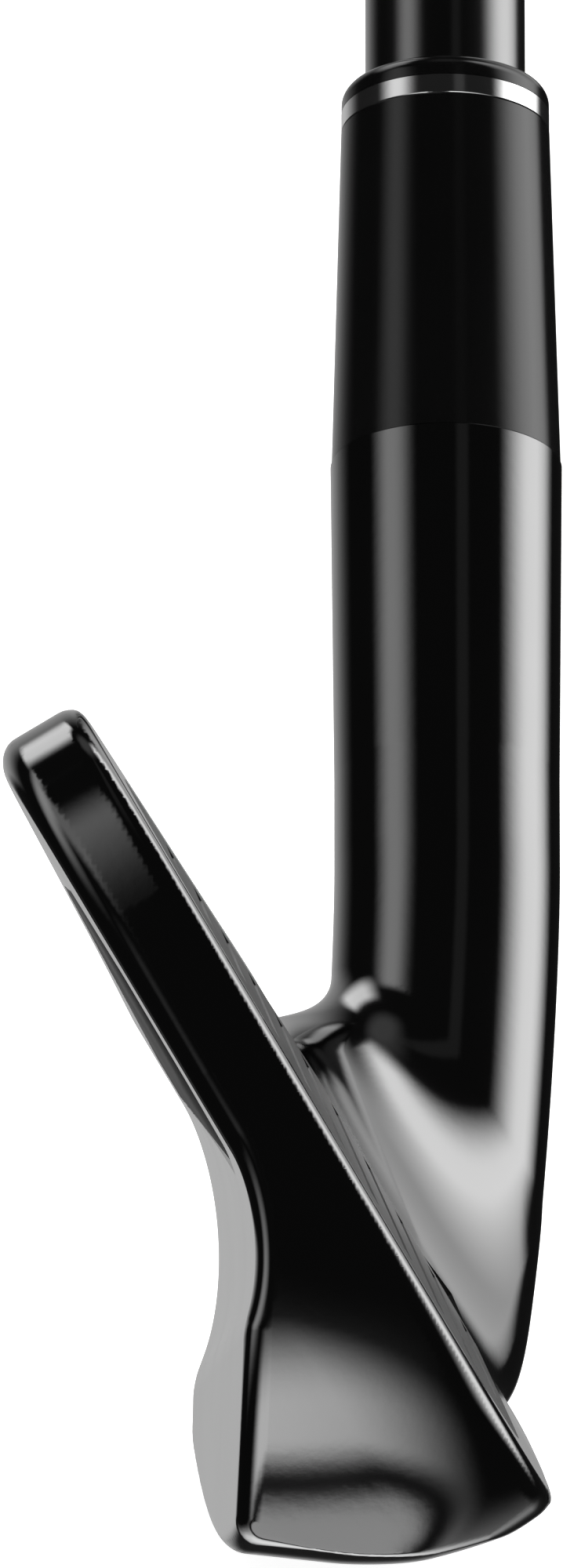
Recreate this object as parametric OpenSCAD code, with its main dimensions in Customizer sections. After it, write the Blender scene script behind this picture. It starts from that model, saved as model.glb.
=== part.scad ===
// Iron golf club, right-handed, standing at address on its sole.
// Origin: the sole's lowest point. +X points at the target, +Y from toe to heel, +Z up.

/* [Club] */
// Length along the shaft axis, from the ground to the end of the grip
club_length = 940; // [900:1:980]
// Lie angle, between the shaft axis and the ground
lie = 62; // [58:0.5:66]
// Loft angle, between the face and the vertical
loft = 32; // [24:1:42]
// Distance from the sole's lowest point to the shaft axis, towards the target
axis_x = 6.6; // [5.5:0.1:8]
// Distance from the sole's lowest point to where the shaft axis meets the ground
axis_y = 36; // [33:0.5:39]

/* [Blade] */
// Distance of the face plane from the sole's lowest point
face_w = 10.84; // [10.4:0.01:11.2]
// How far the toe reaches from the middle of the sole
toe_reach = 40; // [37:0.5:43]
// Height of the toe's highest point, measured up the face
toe_height = 49.5; // [48:0.1:52]
// Radius of the top of the toe
toe_radius = 13; // [12:0.5:15]
// Fall of the topline towards the heel, per unit of length
topline_slope = 0.5; // [0.45:0.01:0.55]
// Thickness of the blade at the toe, above the muscle
blade_thick = 5.5; // [5.4:0.1:6.4]
// Added thickness per unit of length from toe to heel
blade_taper = 0.034; // [0:0.001:0.04]
// Distance of the muscle's back from the sole's lowest point
muscle_back = 8.85; // [8.4:0.05:10]
// Height of the muscle's crest at the middle of the sole
muscle_crest = 10.25; // [9:0.05:11]
// Rise of the muscle's crest towards the toe, per unit of length
crest_slope = 0.17; // [0.1:0.002:0.19]
// Radius of the sole across the ground line, from toe to heel
camber_radius = 161; // [140:1:200]
// Slope of the sole just in front of its ridge
front_slope = 9.8; // [8:0.1:14]
// Radius of the sole's curve from the ridge to the leading edge
front_radius = 34.8; // [30:0.1:40]
// Slope of the sole behind its ridge
rear_slope = 5.1; // [3:0.1:7]

/* [Head pieces] */
// Thickness of the welded face plate
face_plate_t = 2.0; // [1.6:0.1:2.6]
// Distance from the blade's outline to the face plate's outline
face_rim = 2.6; // [2.2:0.1:3.2]
// Number of scorelines
groove_count = 12; // [8:1:12]
// Distance between scorelines
groove_pitch = 3.6; // [3.2:0.1:4]
// Width of a scoreline
groove_width = 0.9; // [0.6:0.05:0.9]
// Depth of a scoreline
groove_depth = 0.5; // [0.3:0.05:0.51]
// Thickness of the back badge
badge_t = 0.9; // [0.6:0.1:1.2]
// Thickness of the damping pad under the badge
pad_t = 0.5; // [0.3:0.1:0.6]

/* [Hosel and ferrule] */
// Distance along the axis from the ground to the top of the hosel
hosel_top = 62.8; // [60:0.1:66]
// Radius of the hosel at its top
hosel_r = 6.73; // [6.6:0.01:7]
// Radius of the hosel where it runs into the neck
neck_r = 6.57; // [6.4:0.01:6.7]
// Depth of the hosel's bore
bore_depth = 35; // [30:1:36]
// Thickness of the glue line between bore and shaft
glue_t = 0.1; // [0.05:0.01:0.15]
// Height of the ferrule's tapered body
ferrule_h = 21.4; // [15:0.1:26]
// Radius of the ferrule's body at its top
ferrule_top_r = 6.12; // [5.9:0.01:6.4]
// Height of the bright ring
ring_h = 1.2; // [0.8:0.05:2]
// Height of the ferrule's end cap
cap_h = 1.45; // [1.3:0.05:3]

/* [Shaft] */
// Radius of the parallel tip section
tip_r = 4.7; // [4.4:0.05:5]
// Radius of the butt section
butt_r = 7.62; // [7.2:0.02:7.8]
// Distance along the axis from the ground to the first step
first_step = 290; // [250:1:320]
// Number of steps
step_count = 11; // [7:1:11]
// Distance between steps
step_pitch = 38.1; // [30:0.1:38.1]
// Wall of the tube at the tip
tip_wall = 0.6; // [0.4:0.05:0.9]
// Wall of the tube at the butt
butt_wall = 0.4; // [0.3:0.05:0.6]

/* [Grip] */
// Length of the rubber sleeve
grip_length = 262; // [250:1:265]
// Radius of the grip at its mouth
grip_mouth_r = 8.9; // [8.6:0.1:9.6]
// Radius of the grip at its butt
grip_butt_r = 13.2; // [12.4:0.1:13.6]
// Length of the sleeve's parallel stretch at the butt
butt_parallel = 10; // [6:1:20]
// Thickness of the grip tape
tape_t = 0.15; // [0.1:0.01:0.2]
// Thickness of the grip's end cap
grip_cap_h = 4; // [3:0.1:5]
// Radius of the vent hole in the end cap
vent_r = 1.5; // [1.2:0.1:2]

/* [Hidden] */
$fn = 64;

sl = sin(loft);
cl = cos(loft);

// Where the face plate and the hollow behind it lie, measured square to the face
hollow_front_w = face_w - face_plate_t;

// Distances along the shaft axis, from the ground
bore_floor = hosel_top - bore_depth;
grip_top = club_length - grip_cap_h;
grip_mouth = grip_top - grip_length;
shaft_top = grip_top;

// ---- Outline of the blade, seen square to the face: y along the ground, t up the face ----

toe_mid_y = toe_radius - toe_reach;          // centre of the toe's top radius
toe_mid_t = toe_height - toe_radius;
topline_run = 1 / sqrt(1 + topline_slope * topline_slope);
tangent_y = toe_mid_y + toe_radius * topline_slope * topline_run;
tangent_t = toe_mid_t + toe_radius * topline_run;
low_toe_y = -15.6;                            // centre of the toe's lower curve
low_toe_t = toe_mid_t - 2;
low_toe_power = 3;
heel_reach = 37.5;                             // end of the lofted blade, inside the neck
heel_mid_y = 25;                             // centre of the heel's curve
heel_mid_t = 16;
heel_pull = 5.5;                               // how far the muscle turns in at the heel
muscle_turn_y = 20;                          // where it starts to turn in
wall_foot_t = -1.7;                          // foot of the walls, just under the sole

// How far along its quarter curve y lies, from 0 to 1, and the height of the curve there
function run(y, from, to) = min(1, max(0, (y - from) / (to - from)));
function quarter(f, power) = pow(1 - pow(f, power), 1 / power);

// Top of the blade at y
function topline_t(y) = tangent_t - topline_slope * (y - tangent_y);
function top_t(y) =
  y > heel_mid_y
    ? heel_mid_t + (topline_t(y) - heel_mid_t) * quarter(run(y, heel_mid_y, heel_reach), 2.4)
  : y > tangent_y ? topline_t(y)
  : toe_mid_t + sqrt(max(0, pow(toe_radius, 2) - pow(y - toe_mid_y, 2)));

// Lower ends of the toe and heel walls at y, superellipses
function toe_wall_t(y) =
  low_toe_t - (low_toe_t - wall_foot_t) * quarter(run(y, low_toe_y, -toe_reach), low_toe_power);
function heel_wall_t(y) =
  heel_mid_t - (heel_mid_t - wall_foot_t) * quarter(run(y, heel_mid_y, heel_reach), 2.2);
function wall_t(y) = max(toe_wall_t(y), heel_wall_t(y));

// ---- Cross-section of the blade at y, in x and z ----

// Smallest of two values with a rounded change-over of width k, and the largest likewise
function soft_min(a, b, k) = min(a, b) - pow(max(k - abs(a - b), 0), 2) / (4 * k);
function soft_max(a, b, k) = -soft_min(-a, -b, k);

// Height of the sole: its ridge lies at x = 0, and it curves up from toe to heel
function sole_z(x, y) =
  y * y / (2 * camber_radius)
  + (x > 0 ? tan(front_slope) * x + x * x / (2 * front_radius) : -tan(rear_slope) * x);

// The underside of the section: the sole, or the toe wall where that is higher
function under_z(x, y) = max(sole_z(x, y), (wall_t(y) + x * sl) / cl);

// The back of the section at height z: the upper plane, the channel and the muscle
function upper_w(y) = face_w - blade_thick - blade_taper * (y + toe_reach - 8);
function crest_z(y) = muscle_crest - crest_slope * y;
function back_x(z, y) =
  let (muscle_x = heel_pull * pow(run(y, muscle_turn_y, heel_reach), 2) - muscle_back)
  soft_min((upper_w(y) - z * sl) / cl,
           muscle_x + soft_max(-0.04 * (z - 12), 0.42 * (z - crest_z(y)), 0.6),
           6.8);

// Height where the back meets the underside, found by halving
function back_foot(y, lo, hi, n = 24) =
  let (mid = (lo + hi) / 2)
  n == 0 ? mid
  : mid > under_z(back_x(mid, y), y) ? back_foot(y, lo, mid, n - 1)
  : back_foot(y, mid, hi, n - 1);

function face_x(z) = (face_w - z * sl) / cl;
function face_foot(y, lo, hi, n = 24) =
  let (mid = (lo + hi) / 2)
  n == 0 ? mid
  : mid > under_z(face_x(mid), y) ? face_foot(y, lo, mid, n - 1)
  : face_foot(y, mid, hi, n - 1);

function wt(w, t) = [w * cl - t * sl, w * sl + t * cl];
function mix(a, b, f) = a * (1 - f) + b * f;

// A corner at b, between a and c, cut back by r to three points on a curve
function towards(p, q, r) = p + (q - p) * min(0.45, r / max(norm(q - p), 0.001));
function round_corner(a, b, c, r) =
  let (p = towards(b, a, r), q = towards(b, c, r))
  [p, mix(mix(p, q, 0.5), b, 0.55), q];

back_points = 16;
rear_points = 6;                 // the last of them lies on the ridge
front_points = 6;
edge_r = [1.0, 1.5, 2.4, 2.0];   // face top, back top, trailing edge, leading edge
function section(y) =
  let (
    top = top_t(y),
    w_top = upper_w(y),
    a = wt(face_w, top),
    b = wt(w_top, top),
    zb = back_foot(y, 0, b[1]),
    zf = face_foot(y, 0, a[1]),
    c = [back_x(zb, y), zb],
    d = [face_x(zf), zf],
    back = [for (i = [1:back_points])
      let (z = mix(b[1], zb, i / (back_points + 1))) [back_x(z, y), z]],
    sole_x = concat(
      [for (i = [1:rear_points]) mix(c[0], 0, i / rear_points)],
      [for (i = [1:front_points]) mix(0, d[0], i / (front_points + 1))]),
    sole = [for (x = sole_x) [x, under_z(x, y)]]
  )
  concat(
    round_corner(d, a, b, edge_r[0]),
    round_corner(a, b, back[0], edge_r[1]),
    back,
    round_corner(back[back_points - 1], c, sole[0], edge_r[2]),
    sole,
    round_corner(sole[len(sole) - 1], d, a, edge_r[3])
  );

// Stations from heel to toe, closer together round both ends
heel_stations = 6;
straight_stations = 12;
toe_stations = 15;
end_share = 0.995;
stations = concat(
  [for (i = [heel_stations:-1:1])
    heel_mid_y + (heel_reach - heel_mid_y) * end_share * sin(90 * i / heel_stations)],
  [for (i = [0:straight_stations - 1]) mix(heel_mid_y, toe_mid_y, i / straight_stations)],
  [for (i = [0:toe_stations]) toe_mid_y - toe_radius * end_share * sin(90 * i / toe_stations)]
);

// A point inside the section at y, from which its end is closed
function middle(y) =
  let (top = wt(face_w, top_t(y))[1], z = mix(back_foot(y, 0, top), top, 0.5))
  [(back_x(z, y) + face_x(z)) / 2, y, z];

module blade() {
  rings = [for (y = stations) [for (p = section(y)) [p[0], y, p[1]]]];
  n = len(rings[0]);
  last = len(rings) - 1;
  points = concat([for (ring = rings) each ring], [middle(stations[0]), middle(stations[last])]);
  heel_mid = len(points) - 2;
  toe_mid = heel_mid + 1;
  faces = concat(
    [for (i = [0:n - 1]) [i, (i + 1) % n, heel_mid]],
    [for (j = [0:last - 1]) for (i = [0:n - 1])
      let (k = (i + 1) % n) each [
        [j * n + k, j * n + i, (j + 1) * n + k],
        [(j + 1) * n + k, j * n + i, (j + 1) * n + i]
      ]],
    [for (i = [0:n - 1]) [last * n + (i + 1) % n, last * n + i, toe_mid]]
  );
  polyhedron(points, faces);
}

// ---- Frames ----

// x runs along the ground, y up the face and z square to the face
module on_face() {
  rotate([0, -loft, 0]) rotate([90, 0, 90]) children();
}

// z runs up the shaft axis from the ground
module on_axis() {
  translate([axis_x, axis_y, 0]) rotate([lie - 90, 0, 0]) children();
}

// A point at distance s along the shaft axis
function axis_point(s) = [axis_x, axis_y + s * cos(lie), s * sin(lie)];

module tube(bottom, height, outer, inner) {
  translate([0, 0, bottom]) difference() {
    cylinder(h = height, r = outer);
    translate([0, 0, -1]) cylinder(h = height + 2, r = inner);
  }
}

// ---- Head ----

// Outline of the face plate, inside the blade's own outline
plate_heel_y = 27;
plate_foot_t = 3.4;
function plate_points() = concat(
  [for (i = [0:20]) let (y = mix(plate_heel_y, tangent_y, i / 20)) [y, top_t(y) - face_rim / topline_run]],
  [for (i = [1:15]) let (a = mix(90 - atan(topline_slope), 180, i / 15))
    [toe_mid_y + (toe_radius - face_rim) * cos(a), toe_mid_t + (toe_radius - face_rim) * sin(a)]],
  [for (i = [0:15]) let (a = 90 * i / 15)
    [low_toe_y - (toe_reach + low_toe_y - face_rim) * pow(cos(a), 2 / low_toe_power),
     low_toe_t - (low_toe_t - plate_foot_t) * pow(sin(a), 2 / low_toe_power)]],
  [[plate_heel_y - 3, plate_foot_t], [plate_heel_y, plate_foot_t + 3]]
);

module face_outline() {
  polygon(plate_points());
}

// The hollow: a thin upper part behind the plate and a deeper part in the muscle
hollow_rim = 2.2;
muscle_hollow_toe = -27;
muscle_hollow_heel = 22;
weight_y = -17;

thin_depth = 1.9;
module upper_hollow(extra) {
  low = 14;
  translate([0, 0, hollow_front_w - thin_depth]) linear_extrude(thin_depth + extra) polygon(concat(
    [for (i = [0:10]) let (y = mix(muscle_hollow_heel, tangent_y, i / 10))
      [y, top_t(y) - (face_rim + hollow_rim) / topline_run]],
    [for (i = [1:12]) let (a = mix(90 - atan(topline_slope), 200, i / 12))
      [toe_mid_y + (toe_radius - face_rim - hollow_rim) * cos(a),
       toe_mid_t + (toe_radius - face_rim - hollow_rim) * sin(a)]],
    [[muscle_hollow_toe, low], [muscle_hollow_heel, low]]
  ));
}

module lower_hollow(extra) {
  front = hollow_front_w + extra;
  translate([muscle_hollow_toe, 0, 0]) rotate([90, 0, 90])
    linear_extrude(muscle_hollow_heel - muscle_hollow_toe) polygon([
      [4.4, front], [14.3, front], [14.3, hollow_front_w - thin_depth + 0.4],
      [11.3, 1.6], [9.4, -0.8], [6.6, -0.8]
    ]);
}

// extra carries the cut a little way into the face plate's pocket
module hollow(extra = 0) {
  on_face() {
    upper_hollow(extra);
    lower_hollow(extra);
  }
}

// Seat of the badge on the back's upper plane
badge_tilt = atan(blade_taper);
module on_badge_seat() {
  on_face() translate([0, 0, upper_w(0)]) rotate([0, badge_tilt, 0]) children();
}

module badge_outline() {
  polygon([[-27.6, 25], [-31, 31], [-31, 38], [-26, 43], [-17, 42.5], [10, 28.6], [10, 26]]);
}

// The neck carries the hosel's round section down into the heel of the blade. Its rings lie square
// to the shaft axis, lean back as they go down and stretch into a web towards the blade.
neck_sides = 32;
neck_from = 47;                              // inside the hosel
neck_bend = 34;                              // where the neck starts to lean back
neck_foot = 14;                              // where its end starts to round off
neck_end = 7.1;
neck_lean = 2.1;
web_reach = 10.6;
web_lean = 0.85;
web_pinch = 0.55;                            // how much thinner the web is at its far side
function neck_radius(s) =
  (neck_r - 0.01) * sqrt(max(0, 1 - pow(max(0, neck_foot - s) / (neck_foot - neck_end), 2)));
function neck_back(s) = neck_lean * pow(max(0, neck_bend - s) / (neck_bend - neck_end), 1.6);
function web(s) =
  web_reach * sin(90 * run(s, neck_bend - 2, 19)) * sin(90 * run(s, neck_end, neck_foot + 2));
function neck_point(s, a) =
  let (
    r = neck_radius(s),
    side = r * sin(a),
    stretch = side < 0 ? web(s) * side / r : 0,
    thin = 1 + web_pinch * stretch / web_reach,
    x = axis_x - neck_back(s) + r * cos(a) * thin + web_lean * stretch
  )
  axis_point(s) + [x - axis_x, (side + stretch) * sin(lie), -(side + stretch) * cos(lie)];

neck_stations = 22;
module neck() {
  levels = [for (i = [0:neck_stations])
    let (f = i / neck_stations) mix(neck_from, neck_end + 0.15, sin(90 * f))];
  points = concat(
    [for (s = levels) for (i = [0:neck_sides - 1]) neck_point(s, 360 * (i + 0.5) / neck_sides)],
    [axis_point(neck_from), neck_point(neck_end + 0.15, 0) - [neck_radius(neck_end + 0.15), 0, 0]]
  );
  n = neck_sides;
  last = neck_stations;
  top_mid = len(points) - 2;
  end_mid = top_mid + 1;
  faces = concat(
    [for (i = [0:n - 1]) [(i + 1) % n, i, top_mid]],
    [for (j = [0:last - 1]) for (i = [0:n - 1])
      let (k = (i + 1) % n) each [
        [j * n + i, j * n + k, (j + 1) * n + k],
        [j * n + i, (j + 1) * n + k, (j + 1) * n + i]
      ]],
    [for (i = [0:n - 1]) [last * n + i, last * n + (i + 1) % n, end_mid]]
  );
  polyhedron(points, faces);
}

hosel_foot = 44;
module hosel() {
  on_axis() translate([0, 0, hosel_foot])
    cylinder(h = hosel_top - hosel_foot, r1 = neck_r, r2 = hosel_r);
}

module head_body() {
  color([0.07, 0.07, 0.075]) difference() {
    union() {
      blade();
      neck();
      hosel();
    }
    on_face() translate([0, 0, hollow_front_w]) linear_extrude(face_plate_t + 5) face_outline();
    hollow(extra = 0.5);
    on_badge_seat() translate([0, 0, -5]) linear_extrude(5 + badge_t + pad_t) badge_outline();
    on_axis() translate([0, 0, bore_floor]) cylinder(h = bore_depth + 1, r = tip_r + glue_t);
  }
}

// Scorelines run between these distances from the middle of the sole
groove_heel = 22;
groove_toe = -25;
first_groove_t = 5.2;
module face_plate() {
  color([0.1, 0.1, 0.105]) on_face() difference() {
    translate([0, 0, hollow_front_w]) linear_extrude(face_plate_t) face_outline();
    for (i = [0:groove_count - 1]) {
      t = first_groove_t + i * groove_pitch;
      heel_end = min(groove_heel, tangent_y + (tangent_t - 5 - t) / topline_slope);
      translate([groove_toe, t, face_w]) rotate([90, 0, 90])
        linear_extrude(heel_end - groove_toe)
          polygon([
            [-groove_width / 2, 0.5], [-groove_width / 2, 0], [-groove_width / 6, -groove_depth],
            [groove_width / 6, -groove_depth], [groove_width / 2, 0], [groove_width / 2, 0.5]
          ]);
    }
  }
}

module foam_core() {
  color([0.85, 0.78, 0.55]) difference() {
    hollow();
    on_face() translate([-60, -10, -20]) cube([60 + weight_y, 24, 40]);
  }
}

module toe_weight() {
  color([0.45, 0.45, 0.47]) intersection() {
    hollow();
    on_face() translate([-60, -10, -20]) cube([60 + weight_y, 24, 40]);
  }
}

module badge_pad() {
  color([0.2, 0.2, 0.2]) on_badge_seat()
    translate([0, 0, badge_t]) linear_extrude(pad_t) badge_outline();
}

module back_badge() {
  color([0.16, 0.16, 0.17]) on_badge_seat() linear_extrude(badge_t) badge_outline();
}

// ---- Joint of head and shaft ----

module hosel_epoxy() {
  color([0.8, 0.7, 0.3]) on_axis() tube(bore_floor, bore_depth, tip_r + glue_t, tip_r);
}

plug_h = 12;
module tip_plug() {
  color([0.7, 0.55, 0.25]) on_axis()
    translate([0, 0, bore_floor]) cylinder(h = plug_h, r = tip_r - tip_wall);
}

// The ferrule's body has a neck that carries the ring and the end cap
spigot_r = 5.4;
cap_lip = 0.6;
module ferrule_body() {
  color([0.05, 0.05, 0.05]) on_axis() translate([0, 0, hosel_top]) difference() {
    union() {
      cylinder(h = ferrule_h, r1 = hosel_r - 0.03, r2 = ferrule_top_r);
      translate([0, 0, ferrule_h]) cylinder(h = ring_h + cap_lip, r = spigot_r);
    }
    translate([0, 0, -1]) cylinder(h = ferrule_h + ring_h + cap_lip + 2, r = tip_r);
  }
}

module ferrule_ring() {
  color([0.85, 0.85, 0.87]) on_axis()
    tube(hosel_top + ferrule_h, ring_h, ferrule_top_r - 0.01, spigot_r);
}

cap_shoulder = 0.9;
module ferrule_cap() {
  outer = ferrule_top_r - 0.02;
  color([0.05, 0.05, 0.05]) on_axis() translate([0, 0, hosel_top + ferrule_h + ring_h])
    rotate_extrude() polygon(concat(
      [[spigot_r, 0], [outer, 0]],
      [for (i = [0:8]) let (a = 90 * i / 8)
        [outer - cap_shoulder + cap_shoulder * cos(a), cap_h - cap_shoulder + cap_shoulder * sin(a)]],
      [[tip_r, cap_h], [tip_r, cap_lip], [spigot_r, cap_lip]]
    ));
}

// ---- Shaft ----

step_rise = (butt_r - tip_r) / step_count;
step_len = 0.6;
function step_start(i) = first_step + i * step_pitch;
function outer_profile() = concat(
  [[tip_r, bore_floor]],
  [for (i = [0:step_count - 1]) each [
    [tip_r + i * step_rise, step_start(i)],
    [tip_r + (i + 1) * step_rise, step_start(i) + step_len]]],
  [[butt_r, shaft_top]]
);
function inner_profile() = [
  [butt_r - butt_wall, shaft_top],
  [butt_r - butt_wall, step_start(step_count - 1) + 20],
  [tip_r - tip_wall, first_step],
  [tip_r - tip_wall, bore_floor]
];

module shaft() {
  color([0.75, 0.76, 0.78]) on_axis()
    rotate_extrude() polygon(concat(outer_profile(), inner_profile()));
}

band_h = 30;
band_t = 0.1;
band_step = 8;
module shaft_band() {
  r = tip_r + band_step * step_rise;
  color([0.15, 0.15, 0.16]) on_axis() tube(step_start(band_step) - 34, band_h, r + band_t, r);
}

// ---- Grip ----

module grip_tape() {
  color([0.9, 0.88, 0.8]) on_axis() tube(grip_mouth, grip_length, butt_r + tape_t, butt_r);
}

mouth_roll = 0.8;
module grip_sleeve() {
  inner = butt_r + tape_t;
  color([0.12, 0.12, 0.12]) on_axis() rotate_extrude() polygon([
    [inner, grip_mouth], [grip_mouth_r - mouth_roll, grip_mouth], [grip_mouth_r, grip_mouth + mouth_roll],
    [grip_butt_r - 1.6, grip_top - 60], [grip_butt_r, grip_top - butt_parallel], [grip_butt_r, grip_top],
    [inner, grip_top]
  ]);
}

module grip_cap() {
  roll = 1.8;
  color([0.1, 0.1, 0.1]) on_axis() translate([0, 0, grip_top]) difference() {
    rotate_extrude() polygon(concat(
      [[0, 0], [grip_butt_r, 0]],
      [for (i = [0:8]) let (a = 90 * i / 8)
        [grip_butt_r - roll + roll * cos(a), grip_cap_h - roll + roll * sin(a)]],
      [[0, grip_cap_h]]
    ));
    translate([0, 0, -1]) cylinder(h = grip_cap_h + 2, r = vent_r);
  }
}

head_body();
face_plate();
foam_core();
toe_weight();
badge_pad();
back_badge();
hosel_epoxy();
tip_plug();
ferrule_body();
ferrule_ring();
ferrule_cap();
shaft();
shaft_band();
grip_tape();
grip_sleeve();
grip_cap();
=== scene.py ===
import math

import bpy
import numpy as np
from mathutils import Matrix, Vector


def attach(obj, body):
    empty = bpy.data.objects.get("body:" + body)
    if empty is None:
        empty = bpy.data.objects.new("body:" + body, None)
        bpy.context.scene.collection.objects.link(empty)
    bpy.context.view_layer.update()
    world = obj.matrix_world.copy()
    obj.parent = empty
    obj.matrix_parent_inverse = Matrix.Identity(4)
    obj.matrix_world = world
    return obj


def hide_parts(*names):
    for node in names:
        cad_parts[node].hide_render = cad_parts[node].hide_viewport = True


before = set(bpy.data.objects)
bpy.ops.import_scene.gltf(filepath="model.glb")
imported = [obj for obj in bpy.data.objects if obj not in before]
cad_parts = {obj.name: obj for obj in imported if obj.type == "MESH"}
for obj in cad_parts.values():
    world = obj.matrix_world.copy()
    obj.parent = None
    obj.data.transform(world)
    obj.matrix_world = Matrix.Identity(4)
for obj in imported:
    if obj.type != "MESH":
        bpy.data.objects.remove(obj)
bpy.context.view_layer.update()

MM = 0.001

# ---- Driving sizes ----

# The club's place, and the blade's main sizes: some are the part's own, and some fit a little finer
LIE = math.radians(62)
LOFT = math.radians(32)
AXIS_X = 6.6
AXIS_Y = 36
CLUB_LENGTH = 940

FACE_W = 10.84
TOE_REACH = 40
TOE_HEIGHT = 49.5
TOE_RADIUS = 13.0
TOPLINE_SLOPE = 0.5
BLADE_THICK = 5.48
BLADE_TAPER = 0.0358
MUSCLE_BACK = 8.88
MUSCLE_CREST = 10.25
CREST_SLOPE = 0.1708
CAMBER_RADIUS = 161.5
FRONT_SLOPE = math.radians(10.7)
FRONT_RADIUS = 32.5
REAR_SLOPE = math.radians(5.1)

# How far in from the toe the blade has the thickness above
THICK_FROM_TOE = 8

# Sizes of the other pieces, the same as the part's
FACE_PLATE_T = 2.0
FACE_RIM = 2.6
BADGE_T = 0.9
PAD_T = 0.5
HOSEL_TOP = 62.8
HOSEL_R = 6.73
BORE_DEPTH = 35
GLUE_T = 0.1
FERRULE_H = 21.4
FERRULE_TOP_R = 6.12
RING_H = 1.2
CAP_H = 1.45
TIP_R = 4.7
BUTT_R = 7.62
FIRST_STEP = 290
STEP_COUNT = 11
STEP_PITCH = 38.1
GRIP_LENGTH = 262
GRIP_MOUTH_R = 8.9
GRIP_BUTT_R = 13.2
TAPE_T = 0.15
BUTT_PARALLEL = 10
GRIP_CAP_H = 4
VENT_R = 1.5

SL = math.sin(LOFT)
CL = math.cos(LOFT)
HOLLOW_FRONT_W = FACE_W - FACE_PLATE_T
BORE_FLOOR = HOSEL_TOP - BORE_DEPTH
GRIP_TOP = CLUB_LENGTH - GRIP_CAP_H
GRIP_MOUTH = GRIP_TOP - GRIP_LENGTH

# z up the shaft axis, from the ground
ON_AXIS = Matrix.Translation((AXIS_X, AXIS_Y, 0)) @ Matrix.Rotation(LIE - math.pi / 2, 4, "X")

# x along the ground towards the heel, y up the face and z square to it
ON_FACE = Matrix(((0, -SL, CL, 0), (1, 0, 0, 0), (0, CL, SL, 0), (0, 0, 0, 1)))

# ---- Outline of the blade, seen square to the face: y from toe to heel, t up the face ----

TOE_MID_Y = TOE_RADIUS - TOE_REACH
TOE_MID_T = TOE_HEIGHT - TOE_RADIUS
TOPLINE_RUN = 1 / math.hypot(1, TOPLINE_SLOPE)
TANGENT_Y = TOE_MID_Y + TOE_RADIUS * TOPLINE_SLOPE * TOPLINE_RUN
TANGENT_T = TOE_MID_T + TOE_RADIUS * TOPLINE_RUN

# The toe's lower corner, a superellipse from just under the top radius's centre to the wall's foot
LOW_TOE_DROP = 2
LOW_TOE_Y = -15.6
LOW_TOE_T = TOE_MID_T - LOW_TOE_DROP
LOW_TOE_POWER = 3.0
WALL_FOOT_T = -1.68

# The toe's upper corner
TOE_ROLL_R = 16.95
TOE_ROLL_POWER = 2.87

# The heel: a level web between the top line and the hosel, and an end hidden in the hosel's foot
WEB_TOP_Z = 23.6
WEB_R = 12.0
HEEL_REACH = 49
HEEL_TOP_R = 4.75
HEEL_LOW_R = 19.74
HEEL_BEHIND = 5.6
HEEL_BEHIND_R = 4.0


def mix(a, b, f):
    """a where f is 0, b where it is 1, and in proportion between."""
    return a * (1 - f) + b * f


def share(value, start, end):
    """How far value has come from start to end, kept between 0 and 1."""
    return np.clip((value - start) / (end - start), 0, 1)


def eased(f):
    """The same share, with a level start and end."""
    return f * f * (3 - 2 * f)


def along_axis(y, z):
    """The height along the shaft axis, from the ground."""
    return (y - AXIS_Y) * math.cos(LIE) + z * math.sin(LIE)


def behind_axis(y, z):
    """The distance past the shaft axis, on the side away from the toe."""
    return (y - AXIS_Y) * math.sin(LIE) - z * math.cos(LIE)


def topline_t(y):
    return TANGENT_T - TOPLINE_SLOPE * (y - TANGENT_Y)


# ---- The head as a field: below zero inside, and close to a distance near the surface ----


def soft_max(a, b, r):
    """Both solids' overlap, with the edge between them rounded to radius r."""
    inner = np.minimum(np.maximum(a, b), -r)
    return inner + np.hypot(np.maximum(a + r, 0), np.maximum(b + r, 0))


def soft_min(a, b, r):
    """Both solids together, with the corner between them filled to radius r."""
    outer = np.maximum(np.minimum(a, b), r)
    return outer - np.hypot(np.maximum(r - a, 0), np.maximum(r - b, 0))


def corner(u, v, wide, high, power):
    """About the distance outside a superellipse's quarter. The small numbers keep it finite."""
    u = np.maximum(u, 0) / wide
    v = np.maximum(v, 0) / high
    n = np.maximum((u**power + v**power) ** (1 / power), 1e-3)
    steep = np.hypot((u / n) ** (power - 1) / wide, (v / n) ** (power - 1) / high)
    return (n - 1) / np.maximum(steep, 0.01)


def outline_field(y, t, z):
    """The blade's outline: its top line and web, and its corners at the toe and at the heel."""
    line = soft_min((t - topline_t(y)) * TOPLINE_RUN, z - WEB_TOP_Z, WEB_R)
    toe = np.maximum(TOE_ROLL_R - TOE_REACH - y, 0) ** TOE_ROLL_POWER
    top = np.maximum(line + TOE_ROLL_R, 0) ** TOE_ROLL_POWER
    upper = np.maximum(toe + top, 1e-9) ** (1 / TOE_ROLL_POWER) - TOE_ROLL_R
    low_toe = corner(
        LOW_TOE_Y - y, LOW_TOE_T - t, TOE_REACH + LOW_TOE_Y, LOW_TOE_T - WALL_FOOT_T, LOW_TOE_POWER
    )
    low_heel = soft_max(y - HEEL_REACH, WALL_FOOT_T - t, HEEL_LOW_R)
    high_heel = soft_max(y - HEEL_REACH, line, HEEL_TOP_R)
    return np.maximum(np.maximum(upper, low_toe), np.maximum(low_heel, high_heel))


RIDGE_R = 0.8


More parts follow.
